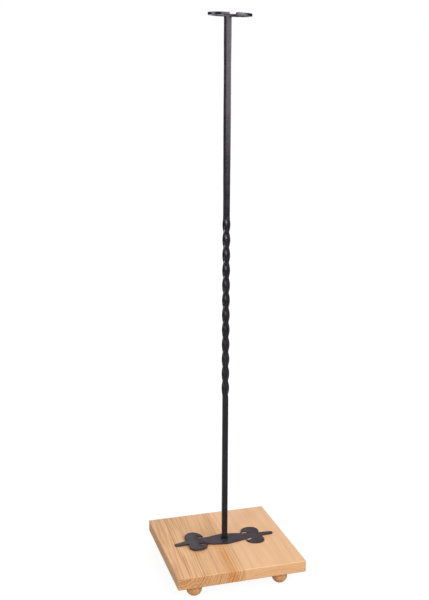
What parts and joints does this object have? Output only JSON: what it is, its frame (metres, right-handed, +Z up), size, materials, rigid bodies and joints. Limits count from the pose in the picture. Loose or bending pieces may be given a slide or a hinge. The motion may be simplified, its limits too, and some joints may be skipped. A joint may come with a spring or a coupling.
{
  "type": "sword stand",
  "caption": "Free-standing sword stand: a partly twisted square iron bar on a wooden board with ball feet, topped by an open loop that a blade hangs through.",
  "frame": {"origin": "on the floor under the middle of the square board", "axes": "+Z up along the bar, +X to the right along the strap plate, front (the loop's gap) towards -Y"},
  "size_m": [0.25, 0.25, 1.051],
  "materials": {
    "board_wood": "oiled satin, straight grain",
    "foot_wood": "turned, oiled satin",
    "dowel_wood": "raw, unfinished",
    "black_iron": "satin black over hammered iron",
    "zinc_steel": "zinc plated"
  },
  "bodies": {
    "root": {"board_left_stave": "board_wood", "board_right_stave": "board_wood", "strap_plate": "black_iron", "post": "black_iron", "blade_ring": "black_iron", "post_foot_weld": "black_iron", "ring_weld": "black_iron", "clamp_bolt": "zinc_steel", "clamp_washer": "zinc_steel", "foot_front_left": "foot_wood", "foot_dowel_front_left": "dowel_wood", "foot_front_right": "foot_wood", "foot_dowel_front_right": "dowel_wood", "foot_back_left": "foot_wood", "foot_dowel_back_left": "dowel_wood", "foot_back_right": "foot_wood", "foot_dowel_back_right": "dowel_wood"}
  },
  "joints": []
}
